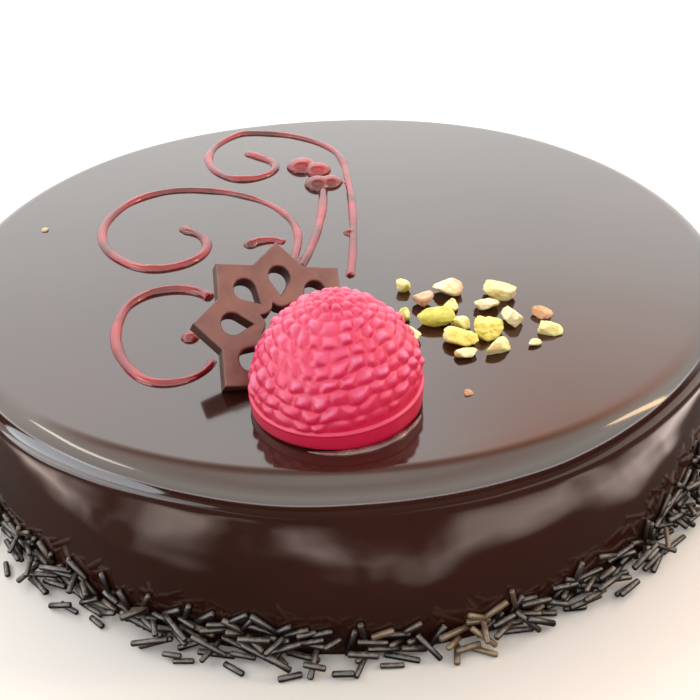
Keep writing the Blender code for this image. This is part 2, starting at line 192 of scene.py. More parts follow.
def modified(bm, modifiers, helpers=()):
    # The bmesh after modifiers, which are pairs of a kind and its settings
    working = meshObject("working", bm)
    for kind, settings in modifiers:
        modifier = working.modifiers.new(kind, kind)
        for name, value in settings.items():
            setattr(modifier, name, value)
    return settled(working, helpers)


def revolved(profile, sides, weld, layerName=None):
    # Spins points of radius and height round the Z axis; a third number goes into a float layer
    bm = bmesh.new()
    layer = bm.verts.layers.float.new(layerName) if layerName else None
    verts = []
    for radius, height, *mark in profile:
        verts.append(bm.verts.new((radius, 0, height)))
        if mark:
            verts[-1][layer] = mark[0]
    for lower, upper in zip(verts, verts[1:]):
        bm.edges.new((lower, upper))
    bmesh.ops.spin(bm, geom=bm.verts[:] + bm.edges[:], cent=(0, 0, 0), axis=(0, 0, 1),
                   angle=fullTurn, steps=sides, use_merge=True)
    bmesh.ops.remove_doubles(bm, verts=bm.verts[:], dist=weld)
    bmesh.ops.recalc_face_normals(bm, faces=bm.faces[:])
    return bm


def waveSum(total, angle, waves, rise=0.0):
    # Adds sine waves round the cake: each is waves per turn, shift, share and how much it leans
    for perTurn, shift, share, lean in waves:
        total += share * math.sin(perTurn * angle + shift + lean * rise)
    return total


# Glazed body

glaze = {
    "radius": 110.5 * mm,
    "height": 46.6 * mm,
    "edgeRadius": 7.5 * mm,
    "edgeSteps": 16,
    "wallSteps": 36,
    "topSteps": 26,
    "sides": 288,
    "weld": 0.005 * mm,
    "poolWidth": 0.8 * mm,     # the glaze that has run out under the sprinkles
    "poolHeight": 2.6 * mm,
    "poolShape": ((0.85, 0), (1, 0.25 * mm), (0.9, 0.7 * mm), (0.35, 1.5 * mm)),    # width share, height
    "lobes": 4,
    "lobeDepth": 1.8 * mm,
    "lobeTurn": math.radians(52),
    "folds": ((4, 0.8, 1, 0), (11, 2.1, 0.5, 1)),    # waves, as waveSum takes them
    "foldDepth": 0.4 * mm,
    "foldDrop": 8 * mm,
    "rippleDepth": 0.2 * mm,   # soft uneven runs down the wall that bend its reflections
    "rippleWidth": 24 * mm,
    "rippleDrop": 13 * mm,
    "rippleFoot": 8 * mm,      # heights over which the runs die out, at the foot and under the edge
    "rippleEdge": 1.5 * mm,
    "fineRipple": (2.3, 0.4),  # how many times finer, and its share of the depth
    "pushPower": 6,            # how steeply the wall's shape dies out towards the middle
    "swellDepth": 0.05 * mm,   # how far the top is from flat near its edge
    "swellWidth": 38 * mm,
    "swellPower": 4,
}


def wallRadius(angle, height):
    # Slightly lobed towards the back, with soft folds that die out at the foot and the top
    backward = (0.5 + 0.5 * math.sin(angle)) ** 2
    lobe = glaze["lobeDepth"] * backward * math.cos(glaze["lobes"] * (angle - glaze["lobeTurn"]))
    fade = math.sin(math.pi * min(1.0, max(0.0, height / glaze["height"])))
    folds = waveSum(0.0, angle, glaze["folds"], height / glaze["foldDrop"])
    return glaze["radius"] + lobe + glaze["foldDepth"] * fade * folds


def wallRipple(angle, height):
    along = glaze["radius"] / glaze["rippleWidth"]
    spot = Vector((along * math.cos(angle), along * math.sin(angle), height / glaze["rippleDrop"]))
    fade = min(1.0, height / glaze["rippleFoot"], (glaze["height"] - height) / glaze["rippleEdge"])
    finer, share = glaze["fineRipple"]
    return glaze["rippleDepth"] * max(0.0, fade) * (noise.noise(spot) + share * noise.noise(finer * spot))


def glazeProfile():
    radius, height, edge = glaze["radius"], glaze["height"], glaze["edgeRadius"]
    foot, shoulder = glaze["poolHeight"], height - edge
    points = [(0, 0), (0.5 * radius, 0)]
    points += [(radius + share * glaze["poolWidth"], rise) for share, rise in glaze["poolShape"]]
    points += [(radius, foot + (shoulder - foot) * step / glaze["wallSteps"])
               for step in range(glaze["wallSteps"] + 1)]
    for step in range(1, glaze["edgeSteps"] + 1):
        turn = 0.5 * math.pi * step / glaze["edgeSteps"]
        points.append((radius - edge * (1 - math.cos(turn)), shoulder + edge * math.sin(turn)))
    points += [((radius - edge) * (1 - step / glaze["topSteps"]), height)
               for step in range(1, glaze["topSteps"] + 1)]
    return points


def makeGlaze(material):
    bm = revolved(glazeProfile(), glaze["sides"], glaze["weld"])
    for vert in bm.verts:
        reach = math.hypot(vert.co.x, vert.co.y)
        angle = math.atan2(vert.co.y, vert.co.x)
        share = min(1.0, reach / glaze["radius"])
        push = wallRadius(angle, vert.co.z) - glaze["radius"] + wallRipple(angle, vert.co.z)
        swell = noise.noise(Vector((vert.co.x, vert.co.y, 0)) / glaze["swellWidth"])
        swell *= share ** glaze["swellPower"]
        if reach > 0:
            vert.co.xy *= 1 + push * share ** glaze["pushPower"] / reach
        if vert.co.z > glaze["poolHeight"]:
            vert.co.z += glaze["swellDepth"] * swell
    return newPiece("glazed_body", bm, material, "cake")


def mirrorGlaze():
    # Poured cocoa glaze set with gelatine: a dark brown body under a mirror-smooth skin
    material, tree, shader, place = cloudyMaterial(
        "cocoa_mirror_glaze", {"IOR": 1.45}, 45, 3.0, (0.3, "#2B140D"), (0.7, "#361A13"))
    # Faint drag marks from pouring
    gloss = addRange(tree, addNoise(tree, place, 16), (0.0, 1.0), (0.055, 0.12))
    tree.links.new(gloss, shader.inputs["Roughness"])
    addBump(tree, shader, addNoise(tree, place, 22, 1.0), 1.0, 0.05 * mm)
    return material


makeGlaze(mirrorGlaze())


# Jelly scrollwork

jelly = {
    "radius": 1.75 * mm,
    "roundness": 4,
    "sunk": 0.4 * mm,
    "step": 1.6 * mm,
    "uneven": 0.18,            # how much the piped bead swells and thins
    "unevenLength": 9 * mm,
    "taper": 0.22,             # how much thinner it ends
    "voxel": 0.34 * mm,
    "smoothing": 14,
    "dotRadius": 2.2 * mm,
    "dotHeight": 0.75,         # against its radius
    "dotSides": 32,
    # Each scroll: start and heading, then arcs as radius in millimetres and turn in degrees
    "scrolls": (
        ((-45.3, 6.5), -21, ((12.4, -195), (33, -84), (19, -63), (40, -91), (200, -4))),
        ((-30.7, 68.8), -43, ((550, -1), (9.8, -185), (30, -85), (5, -47), (37, -83), (450, -10.5))),
        ((-33.0, -34.3), 126, ((11.9, 136), (37, 50), (9.4, 134))),
        ((-4.0, 34.0), -88, ((190, -16),)),
        ((-24.8, -3.9), 50, ((7, -90),)),
    ),
    # Round drops where the nozzle was lifted: place in millimetres and size against a dot
    "dots": ((-45.3, 7.5, 1.0), (-30.7, 68.8, 1.0), (-24.8, -3.9, 1.0), (-35.5, -53.5, 1.15),
             (4.2, 2.3, 0.95)),
    # The bud's lobes: place, half lengths and height in millimetres
    "lobes": ((-11.4, 55.0, 5.6, 5.8, 3.5), (-6.0, 51.4, 4.8, 4.8, 3.1),
              (-5.8, 39.0, 4.6, 5.2, 3.3), (-1.6, 40.4, 4.2, 4.6, 2.8)),
}


def traceArcs(start, heading, arcs):
    point = Vector((start[0] * mm, start[1] * mm, 0))
    angle = math.radians(heading)
    points = [point]
    for radius, degrees in arcs:
        turn = math.radians(degrees)
        count = max(2, round(abs(radius * mm * turn) / jelly["step"]))
        chord = 2 * radius * mm * math.sin(abs(turn) / count / 2)
        for _ in range(count):
            angle += turn / count / 2
            point = point + Vector((math.cos(angle), math.sin(angle), 0)) * chord
            angle += turn / count / 2
            points.append(point)
    return points


def makeJelly(material):
    level = glaze["height"] - jelly["sunk"]
    curve = bpy.data.curves.new("scrolls", "CURVE")
    curve.dimensions = "3D"
    curve.twist_mode = "Z_UP"
    curve.bevel_depth = jelly["radius"]
    curve.bevel_resolution = jelly["roundness"]
    curve.use_fill_caps = True
    for number, scroll in enumerate(jelly["scrolls"]):
        points = traceArcs(*scroll)
        spline = curve.splines.new("POLY")
        spline.points.add(len(points) - 1)
        for index, (knot, point) in enumerate(zip(spline.points, points)):
            spot = point / jelly["unevenLength"] + Vector((0, 0, number))
            knot.co = (point.x, point.y, level, 1)
            knot.radius = 1 + jelly["uneven"] * noise.noise(spot)
            knot.radius -= jelly["taper"] * index / len(points)
    bm = settled(linked("scrolls", curve))
    dot = jelly["dotRadius"] / mm
    mounds = [(x, y, dot * size, dot * size, jelly["dotHeight"] * dot * size)
              for x, y, size in jelly["dots"]]
    for x, y, halfX, halfY, height in (*mounds, *jelly["lobes"]):
        size = Matrix.Diagonal((halfX * mm, halfY * mm, height * mm, 1))
        bmesh.ops.create_uvsphere(bm, u_segments=jelly["dotSides"], v_segments=jelly["dotSides"] // 2,
                                  radius=1.0, matrix=Matrix.Translation((x * mm, y * mm, level)) @ size)
    # The voxels weld beads and drops into one skin, with soft fillets where they meet
    fused = modified(bm, [("REMESH", {"mode": "VOXEL", "voxel_size": jelly["voxel"]}),
                          ("SMOOTH", {"factor": 0.5, "iterations": jelly["smoothing"]})])
    return newPiece("jelly_scrollwork", fused, material, "cake")


def raspberryJelly():
    # Piped raspberry jelly: wet, tinted and slightly clear, in cloudy shades of red
    return cloudyMaterial(
        "raspberry_jelly", {"Roughness": 0.045, "IOR": 1.38, "Transmission Weight": 0.1},
        11, 2.0, (0.35, "#62070E"), (0.65, "#A21F29"))[0]


makeJelly(raspberryJelly())


# Chopped pistachios

pistachios = {
    "sunk": 0.35 * mm,
    "cuts": 9,
    "cutOffsets": (0.5, 0.85),    # how near its middle a cut goes, in half sizes
    "edgeOn": 0.05,            # a cut doesn't reach directions that face it less than this
    "seed": 5,
    "roughness": 0.12,         # crumbly relief, as a share of a piece's half size
    "fullness": 2.6,           # 2 is a ball, and more is boxier
    "large": 4,                # millimetres, from which a piece has the finer mesh
    "skinDepth": 0.05,         # how far from the uncut surface the skin's colour goes
    "swell": 1.12,
    "colours": {"yellow": "#F9EC86", "pale": "#FAF3B8", "green": "#CBCB5E", "cream": "#FBF1D0",
                "pink": "#F2BFA3", "beige": "#E3C2A8", "skin": "#C2AA72", "mauve": "#C09082"},
    # Place on the top, length, width and height in millimetres, turn in degrees, flesh and skin
    "bits": (
        (18.0, -33.3, 3.4, 2.8, 3.4, 20, "pale green"), (17.2, -47.3, 3.4, 3.0, 3.2, 70, "pale green"),
        (18.2, -56.0, 6.2, 3.4, 2.8, 115, "pale yellow"), (22.7, -40.4, 5.2, 4.0, 3.4, 40, "beige mauve"),
        (24.8, -49.7, 8.6, 6.0, 3.8, 10, "yellow green"), (29.3, -35.6, 7.0, 5.2, 4.0, 0, "cream pink"),
        (29.3, -43.3, 4.8, 3.6, 2.8, 60, "pale skin"), (30.8, -52.0, 4.4, 3.2, 3.0, 150, "pale green"),
        (29.6, -59.2, 7.6, 6.0, 4.2, 140, "yellow pale"), (30.4, -65.2, 5.0, 3.2, 2.2, 5, "cream skin"),
        (42.3, -37.6, 7.8, 5.2, 4.0, 160, "pale beige"), (38.4, -43.8, 5.8, 3.8, 3.0, 15, "cream skin"),
        (43.8, -50.6, 5.6, 4.6, 4.2, 100, "cream pale"), (37.0, -55.6, 7.4, 6.4, 4.2, 75, "yellow green"),
        (38.0, -62.9, 7.0, 4.0, 2.8, 30, "pale skin"), (51.7, -47.9, 5.0, 3.8, 2.8, 0, "pink mauve"),
        (52.1, -55.5, 5.4, 4.0, 2.8, 155, "pale green"), (47.2, -61.0, 3.2, 2.0, 1.6, 10, "cream beige"),
        (29.2, -79.7, 1.9, 1.5, 1.3, 0, "pink mauve"), (-88.3, 9.7, 2.0, 1.6, 1.1, 30, "beige skin")),
}


def carveBit(bit, dice, colours, shift):
    # A ball cut by a few planes, as a knife leaves a kernel, with skin where it is uncut
    paint = bit.verts.layers.float_color.new("kernel")
    flesh, skin = (Vector(linear(pistachios["colours"][name])) for name in colours.split())
    planes = []
    for _ in range(pistachios["cuts"]):
        normal = Vector([dice.gauss(0, 1) for _ in range(3)]).normalized()
        planes.append((normal, dice.uniform(*pistachios["cutOffsets"])))
    for vert in bit.verts:
        ray = vert.co.normalized()
        whole = sum(abs(c) ** pistachios["fullness"] for c in ray) ** (-1 / pistachios["fullness"])
        reach = whole
        for normal, offset in planes:
            facing = ray.dot(normal)
            if facing > pistachios["edgeOn"]:
                reach = min(reach, offset / facing)
        grain = noise.noise(ray * 4 + shift) + 0.6 * noise.noise(ray * 9 + shift)
        vert[paint] = flesh.lerp(skin, max(0.0, 1 - (whole - reach) / pistachios["skinDepth"]))
        vert.co = ray * (reach + pistachios["roughness"] * grain)
    bmesh.ops.smooth_vert(bit, verts=bit.verts[:], factor=0.5,
                          use_axis_x=True, use_axis_y=True, use_axis_z=True)


def pressBit(bit, sizes):
    for axis, size in enumerate(sizes):
        low = min(vert.co[axis] for vert in bit.verts)
        high = max(vert.co[axis] for vert in bit.verts)
        for vert in bit.verts:
            vert.co[axis] = ((vert.co[axis] - low) / (high - low) - 0.5) * size * mm


def makePistachios(material):
    dice = random.Random(pistachios["seed"])
    swell = pistachios["swell"]
    bm = bmesh.new()
    holder = bpy.data.meshes.new("bit")
    for x, y, length, width, height, turn, colours in pistachios["bits"]:
        bit = bmesh.new()
        bmesh.ops.create_icosphere(bit, subdivisions=4 if length > pistachios["large"] else 3, radius=1.0)
        carveBit(bit, dice, colours, Vector((x, y, turn)))
        pressBit(bit, (length * swell, width * swell, height))
        level = glaze["height"] - pistachios["sunk"] + height * mm / 2
        place = Matrix.Translation((x * mm, y * mm, level))
        bit.transform(place @ Matrix.Rotation(math.radians(turn), 4, "Z"))
        bit.to_mesh(holder)
        bit.free()
        bm.from_mesh(holder)
    bpy.data.meshes.remove(holder)
    return newPiece("pistachio_bits", bm, material, "cake")


def pistachioKernel():
    # Chopped raw pistachio: waxy yellow-green flesh, mottled, with duller skin left on some sides
    material, tree, shader = newMaterial("pistachio_kernel", {
        "Roughness": 0.55, "IOR": 1.46, "Subsurface Weight": 0.15, "Subsurface Scale": 0.6 * mm})
    place = addNode(tree, "ShaderNodeTexCoord").outputs["Object"]
    kernel = addNode(tree, "ShaderNodeAttribute", attribute_name="kernel").outputs["Color"]
    shade = addRange(tree, addNoise(tree, place, 1.6, 4.0), (0.35, 0.65))
    tinted = addMix(tree, 1.0, kernel, addMix(tree, shade, "#E4E0BC", "#FFFFF8"), "MULTIPLY")
    tree.links.new(tinted, shader.inputs["Base Color"])
    addBump(tree, shader, addNoise(tree, place, 0.5, 3.0), 0.9, 0.2 * mm)
    return material


makePistachios(pistachioKernel())


# Chocolate sprinkles, dropped one by one into a heap round the foot

sprinkles = {
    "leaning": 190,
    "tries": 9000,             # rods thrown, of which those that find a place stay
    "seed": 21,
    "shortest": 4.4 * mm,
    "longest": 9.0 * mm,
    "thinnest": 0.6 * mm,      # radii
    "thickest": 0.76 * mm,
    "sides": 8,
    "endBevel": 0.22 * mm,
    "clumps": ((5, 4.6, 0.3, 0), (11, 1.9, 0.2, 0)),
    "wallLevel": 2 * mm,       # the height at which laid rods keep off the wall
    "spread": 1.35 * mm,       # mean distance out from the wall
    "farthest": 6.4 * mm,
    "outermost": 118.5 * mm,   # from the cake's middle
    "alongShare": 0.35,        # of the rods, that lie along the wall within the stray, in radians
    "alongStray": 0.6,
    "anyTurn": 1.5,
    "heapHeight": 7.2 * mm,
    "steepest": 0.75,          # the most a rod may tip while it lies on others
    "stations": 12,            # places along a rod where it can touch what is under it
    "leanHeight": 12.0 * mm,
    "leanFoot": 3 * mm,
    "leanOff": 0.8 * mm,       # from the wall, where the heap's height under a leaning rod is read
    "slant": 1.35,             # the most that a leaning rod is off upright, in radians
    "apart": 2.1 * mm,         # between the middles of leaning rods
    "cell": 0.5 * mm,
    "fieldReach": 128 * mm,
    "toasted": (27 * mm, -113 * mm),    # middle of the one golden-brown clump
    "toastedReach": 6.5 * mm,
    "sharpEdge": math.radians(50),
}


def heapSwell(angle):
    # Where the heap is thick (1) and thin (0), in uneven clumps
    return waveSum(0.5, angle, sprinkles["clumps"])


def fieldIndex(spots):
    return ((spots + sprinkles["fieldReach"]) / sprinkles["cell"]).astype(int)


def emptyField():
    # Heights on a square grid round the cake, and the cells that the cake itself takes up
    cell, reach = sprinkles["cell"], sprinkles["fieldReach"]
    cells = int(2 * reach / cell)
    ticks = (np.arange(cells) + 0.5) * cell - reach
    gridX, gridY = np.meshgrid(ticks, ticks, indexing="ij")
    wallAt = np.vectorize(lambda angle: wallRadius(angle, sprinkles["wallLevel"]))
    wall = wallAt(np.arctan2(gridY, gridX))
    return np.zeros((cells, cells)), np.hypot(gridX, gridY) < wall


def restingLine(stations, heights):
    # The lowest straight line over the heights: its height at the middle and its slope
    left = stations <= 0
    low, high = stations[left][:, None], stations[~left][None, :]
    slopes = (heights[~left][None, :] - heights[left][:, None]) / (high - low)
    middles = heights[left][:, None] - slopes * low
    best = np.unravel_index(np.argmax(middles), middles.shape)
    return middles[best], slopes[best]


def stampRod(field, centre, along, length, radius, level, slope):
    # Raises the field to the top of a rod that has come to rest
    shares = np.arange(-0.5, 0.5, 0.5 * sprinkles["cell"] / length)
    flat = 1 / math.sqrt(1 + slope * slope)
    across = np.array([-along[1], along[0]])
    for side in np.arange(-radius, radius, 0.5 * sprinkles["cell"]):
        index = fieldIndex(centre + shares[:, None] * length * flat * along + side * across)
        tops = level + slope * shares * length * flat + math.sqrt(radius ** 2 - side ** 2)
        np.maximum.at(field, (index[:, 0], index[:, 1]), tops)


def dropSprinkles(dice):
    # The height field takes each rod as it comes to rest on those before it. Where the heap
    # swells, rods go farther out, fewer are left out and they pile up higher
    field, blocked = emptyField()
    rods = []
    stations = np.linspace(-0.5, 0.5, sprinkles["stations"])
    for _ in range(sprinkles["tries"]):
        angle = dice.uniform(0, fullTurn)
        swell = heapSwell(angle)
        length = dice.uniform(sprinkles["shortest"], sprinkles["longest"])
        radius = dice.uniform(sprinkles["thinnest"], sprinkles["thickest"])
        gap = dice.expovariate(1 / sprinkles["spread"]) * (0.6 + 0.8 * swell)
        away = radius + min(gap, sprinkles["farthest"])
        isAlong = dice.random() < sprinkles["alongShare"]
        stray = (dice.gauss(0, sprinkles["alongStray"]) if isAlong
                 else dice.uniform(-sprinkles["anyTurn"], sprinkles["anyTurn"]))
        bearing = angle + math.pi / 2 + stray
        if dice.random() > 0.3 + 0.7 * swell:
            continue
        outward = wallRadius(angle, sprinkles["wallLevel"]) + away
        centre = np.array([math.cos(angle), math.sin(angle)]) * outward
        along = np.array([math.cos(bearing), math.sin(bearing)])
        spots = centre + stations[:, None] * length * along
        index = fieldIndex(spots)
        if index.min() < 1 or index.max() > len(field) - 2 or blocked[index[:, 0], index[:, 1]].any():
            continue
        if np.hypot(spots[:, 0], spots[:, 1]).max() > sprinkles["outermost"]:
            continue
        nearby = np.max([field[index[:, 0] + i, index[:, 1] + j]
                         for i in (-1, 0, 1) for j in (-1, 0, 1)], axis=0)
        middle, slope = restingLine(stations * length, nearby)
        level = middle + radius
        ends = level + slope * length * np.array([-0.5, 0.5])
        highest = sprinkles["heapHeight"] * (0.75 + 0.35 * swell)
        if abs(slope) > sprinkles["steepest"] or ends.max() > highest:
            continue
        flat = 1 / math.sqrt(1 + slope * slope)
        start = Vector((*(centre - along * length * flat / 2), level - slope * length * flat / 2))
        end = Vector((*(centre + along * length * flat / 2), level + slope * length * flat / 2))
        rods.append((start, end, radius))
        stampRod(field, centre, along, length, radius, level, slope)
    return rods, field


def leanSprinkles(dice, field):
    # Rods that stick to the glaze above the heap, upright or slanting, side by side
    rods = []
    marks = []
    for _ in range(sprinkles["tries"]):
        if len(rods) >= sprinkles["leaning"]:
            break
        angle = dice.uniform(0, fullTurn)
        length = dice.uniform(sprinkles["shortest"], 0.85 * sprinkles["longest"])
        radius = dice.uniform(sprinkles["thinnest"], sprinkles["thickest"])
        slant = dice.uniform(-sprinkles["slant"], sprinkles["slant"])
        if dice.random() > 0.25 + 0.75 * heapSwell(angle):
            continue
        foot = wallRadius(angle, sprinkles["leanFoot"]) + radius + sprinkles["leanOff"]
        row, column = fieldIndex(np.array([foot * math.cos(angle), foot * math.sin(angle)]))
        low = radius + 0.85 * field[row, column]
        high = low + length * math.cos(slant)
        sweep = length * math.sin(slant) / glaze["radius"]
        if high > sprinkles["leanHeight"]:
            continue
        ends = []
        for turn, height in ((angle, low), (angle + sweep, high)):
            out = wallRadius(turn, height) + wallRipple(turn, height) + 0.95 * radius
            out += glaze["poolWidth"] * max(0.0, 1 - height / glaze["poolHeight"])
            ends.append(Vector((out * math.cos(turn), out * math.sin(turn), height)))
        middle = (ends[0] + ends[1]) / 2
        if any((middle - other).length < sprinkles["apart"] for other in marks):
            continue
        marks.append(middle)
        rods.append((ends[0], ends[1], radius))
    return rods


def makeSprinkles(material):
    dice = random.Random(sprinkles["seed"])
    laid, field = dropSprinkles(dice)
    leaning = leanSprinkles(dice, field)
    print(f"sprinkles: {len(laid)} laid, {len(leaning)} leaning")
    heap = bmesh.new()
    holder = bpy.data.meshes.new("rod")
    for start, end, radius in laid + leaning:
        rod = bmesh.new()
        axis = end - start
        middle = (start + end) / 2
        bmesh.ops.create_cone(rod, cap_ends=True, segments=sprinkles["sides"], radius1=radius,
                              radius2=radius, depth=axis.length)
        rims = [edge for edge in rod.edges if abs(edge.verts[0].co.z - edge.verts[1].co.z) < 0.1 * mm]
        bmesh.ops.bevel(rod, geom=rims, offset=sprinkles["endBevel"], segments=1, profile=0.5,
                        material=-1, affect="EDGES")
        tint = rod.verts.layers.float.new("tint")
        shade = dice.random()
        if (middle.xy - Vector(sprinkles["toasted"])).length < sprinkles["toastedReach"]:
            shade = 0.97 + 0.03 * shade
        for vert in rod.verts:
            vert[tint] = shade
        rod.transform(Matrix.Translation(middle) @ axis.to_track_quat("Z", "Y").to_matrix().to_4x4())
        rod.to_mesh(holder)
        rod.free()
        heap.from_mesh(holder)
    bpy.data.meshes.remove(holder)
    piece = newPiece("chocolate_sprinkles", heap, material, "cake")
    piece.data.set_sharp_from_angle(angle=sprinkles["sharpEdge"])
    return piece


def sprinkleChocolate():
    # Extruded chocolate sprinkles: almost black, dull, with patches of dry bloom and a painted sheen that
    # greys the upper sides
    material, tree, shader = newMaterial("extruded_chocolate", {"Roughness": 0.38, "IOR": 1.46})
    surface = addNode(tree, "ShaderNodeTexCoord")
    place = surface.outputs["Object"]
    tint = addNode(tree, "ShaderNodeAttribute", attribute_name="tint").outputs["Fac"]
    tone = addRamp(tree, tint, [(0.0, "#120D0B"), (0.6, "#1D1513"), (0.95, "#33271F"), (1.0, "#7A6244")])
    patches = addRange(tree, addNoise(tree, place, 1.2, 3.0), (0.35, 0.7), (0.05, 0.6))
    # Painted sheen: the bloom patches grey more, the more the surface faces up
    upward = addNode(tree, "ShaderNodeSeparateXYZ", {0: surface.outputs["Normal"]}).outputs["Z"]
    bloomAndPaintedLight = addMath(tree, "MULTIPLY", patches, addRange(tree, upward, (0.45, 1.0)))
    tree.links.new(addMix(tree, bloomAndPaintedLight, tone, "#A39890"), shader.inputs["Base Color"])
    # Fine die lines and pits, drawn at 0.4 mm so that they show
    addBump(tree, shader, addNoise(tree, place, 0.4), 0.5, 0.05 * mm)
    return material


makeSprinkles(sprinkleChocolate())


# Moulded raspberry

berry = {
    "place": (0.2 * mm, -79.5 * mm),
    "radius": 18.9 * mm,
    "height": 25.0 * mm,
    "band": 4.2 * mm,
    "bandSteps": 6,
    "lip": 0.5 * mm,
    "foot": ((1.6, 0), (0.7, 0.12), (0.15, 0.55), (0, 1.2)),    # in from the side and up, in lips
    "lean": 0.055,             # the band is deeper on the right
    "cone": (0.98, 2.0, 0.64),    # powers that shape the rounded cone
    "zones": ((27, 5), (21, 2), (15, 2), (9, 1), (5, 1)),   # drupelets round each zone, and its rows
    "relief": 1.2 * mm,
    "bulges": (0.45, 1.15),    # the lowest and highest drupelet, against the relief
    "topShare": 0.96,          # where the rows end and the tip begins
    "tipSteps": 8,
    "sides": 324,
    "rowSteps": 11,
    "weld": 0.002 * mm,
    "gap": 0.3 * mm,
    "seam": 0.18 * mm,         # the mould's parting line stands out this far
    "warp": 0.42,              # how far a drupelet strays from its row, as a share of the row
    "warpSize": 5 * mm,
    "wave": 0.3,               # how far the rows rise and fall round the berry, in rows
    "smoothSide": 0.9,         # radians
    "smoothRows": 1.6,
    "topFade": 0.35,           # how much lower the relief gets towards the tip
    "lowest": 0.35,            # the relief where the first row starts
    "seed": 9,
}


def berryOutline(share):
    # Radius and height on the rounded cone, from the band (0) to the tip (1)
    rise, bulge, taper = berry["cone"]
    up = math.sin(0.5 * math.pi * share) ** rise
    radius = (berry["radius"] - berry["lip"]) * (1 - up ** bulge) ** taper
    return radius, berry["band"] + (berry["height"] - berry["band"]) * up


def berryProfile():
    # The third number is the row of drupelets: below 0 on the band and far above on the tip
    radius, lip, band, seam = berry["radius"], berry["lip"], berry["band"], berry["seam"]
    onBand, onTip = -1, 99
    points = [(0, 0, onBand), (0.5 * radius, 0, onBand)]
    points += [(radius - inward * lip, up * lip, onBand) for inward, up in berry["foot"]]
    points += [(radius, 1.2 * lip + (band - 2.2 * lip) * step / berry["bandSteps"], onBand)
               for step in range(1, berry["bandSteps"] + 1)]
    points += [(radius + seam, band - 0.6 * lip, onBand), (radius + 0.7 * seam, band - 0.2 * lip, onBand),
               (radius - 0.6 * lip, band - 0.05 * lip, onBand)]
    top, tipSteps = berry["topShare"], berry["tipSteps"]
    rows = sum(rows for count, rows in berry["zones"]) * berry["rowSteps"]
    points += [(*berryOutline(top * step / rows), step / berry["rowSteps"]) for step in range(1, rows + 1)]
    points += [(*berryOutline(top + (1 - top) * step / tipSteps), onTip) for step in range(1, tipSteps + 1)]
    return points


def drupeletLift(row, angle, bulges):
    # A low rounded pillow for each drupelet, staggered from row to row
    level = math.floor(min(row, len(bulges) - 1e-6))
    count = len(bulges[level])
    across = (angle / fullTurn * count + 0.5 * (level % 2)) % count
    column = int(across)
    u = 2 * (across - column) - 1
    v = 2 * (row - level) - 1
    pillow = (1 - u * u) * (1 - v * v)
    return bulges[level][column % count] * pillow


def warpedLift(place, row, bulges):
    # The rows wander, most of all near the band, so that no two drupelets are alike
    angle = math.atan2(place.y, place.x) % fullTurn
    spot = place / berry["warpSize"]
    low = 1 - row / len(bulges)
    row += berry["warp"] * noise.noise(spot) + berry["wave"] * low * math.sin(3 * angle + 1.1)
    row = min(len(bulges) - 0.01, max(0.0, row))
    angle += 0.2 * berry["warp"] * noise.noise(spot + Vector((9, 0, 0)))
    # The lowest row is faint at the front right, where the casting is smooth
    smooth = max(0.0, math.cos(angle + berry["smoothSide"])) * max(0.0, 1 - row / berry["smoothRows"])
    fade = 1 - berry["topFade"] * row / len(bulges)
    lift = fade * drupeletLift(row, angle % fullTurn, bulges) * (1 - smooth)
    return lift * min(1.0, berry["lowest"] + row)


def onGlaze(bm):
    bm.transform(Matrix.Translation((*berry["place"], glaze["height"] + berry["gap"])))


def makeBerry(material):
    dice = random.Random(berry["seed"])
    bulges = [[dice.uniform(*berry["bulges"]) for _ in range(count)]
              for count, rows in berry["zones"] for _ in range(rows)]
    bm = revolved(berryProfile(), berry["sides"], berry["weld"], "row")
    bm.normal_update()
    proudLayer = bm.verts.layers.float.new("proud")
    rowLayer = bm.verts.layers.float["row"]
    for vert in bm.verts:
        if 0 <= vert[rowLayer] <= len(bulges):
            vert[proudLayer] = warpedLift(vert.co, vert[rowLayer], bulges)
    for vert in bm.verts:
        vert.co += vert.normal * vert[proudLayer] * berry["relief"]
        if vert.co.z > berry["lip"]:
            vert.co.z += berry["lean"] * vert.co.x
    onGlaze(bm)
    return newPiece("moulded_raspberry", bm, material, "raspberry")


def raspberryCoating():
    # Tinted white couverture cast in a mould: satin crimson, with painted shade that deepens the gaps
    # and a painted highlight, paler pink, where the drupelets are proud and face up
    material, tree, shader = newMaterial("tinted_white_chocolate", {
        "Roughness": 0.36, "IOR": 1.48, "Subsurface Weight": 0.06, "Subsurface Scale": 1.0 * mm,
        "Subsurface Radius": (1.0, 0.25, 0.3)})
    surface = addNode(tree, "ShaderNodeTexCoord")
    place = surface.outputs["Object"]
    proud = addNode(tree, "ShaderNodeAttribute", attribute_name="proud").outputs["Fac"]
    upward = addNode(tree, "ShaderNodeSeparateXYZ", {0: surface.outputs["Normal"]}).outputs["Z"]
    # Painted light: paler where the drupelets are raised and face up, deeper crimson in the gaps, with a
    # cloudy tone over it
    paintedLightAndTone = 0.0
    for part in (proud, upward, addNoise(tree, place, 4, 3.0)):
        paintedLightAndTone = addMath(tree, "MULTIPLY_ADD", part, 0.5, paintedLightAndTone)
    tone = addRamp(tree, paintedLightAndTone, [(0.25, "#CA0840"), (0.6, "#C8124C"), (0.9, "#D03C6E"), (1.0, "#CC5A80")])
    tree.links.new(tone, shader.inputs["Base Color"])
    # Fine casting grain, about 0.5 mm
    addBump(tree, shader, addNoise(tree, place, 0.5), 0.35, 0.06 * mm)
    return material


makeBerry(raspberryCoating())


# Syrup that has seeped out from under the raspberry at its front right

seep = {
    "from": math.radians(-108),
    "to": math.radians(-22),
    "width": 0.9 * mm,         # half widths and height of the bead at its thickest
    "height": 0.7 * mm,
    "steps": 60,
    "sides": 16,
    "thinnest": 0.02,          # its ends, against its middle, before the root that rounds them
    "uneven": 0.25,
}


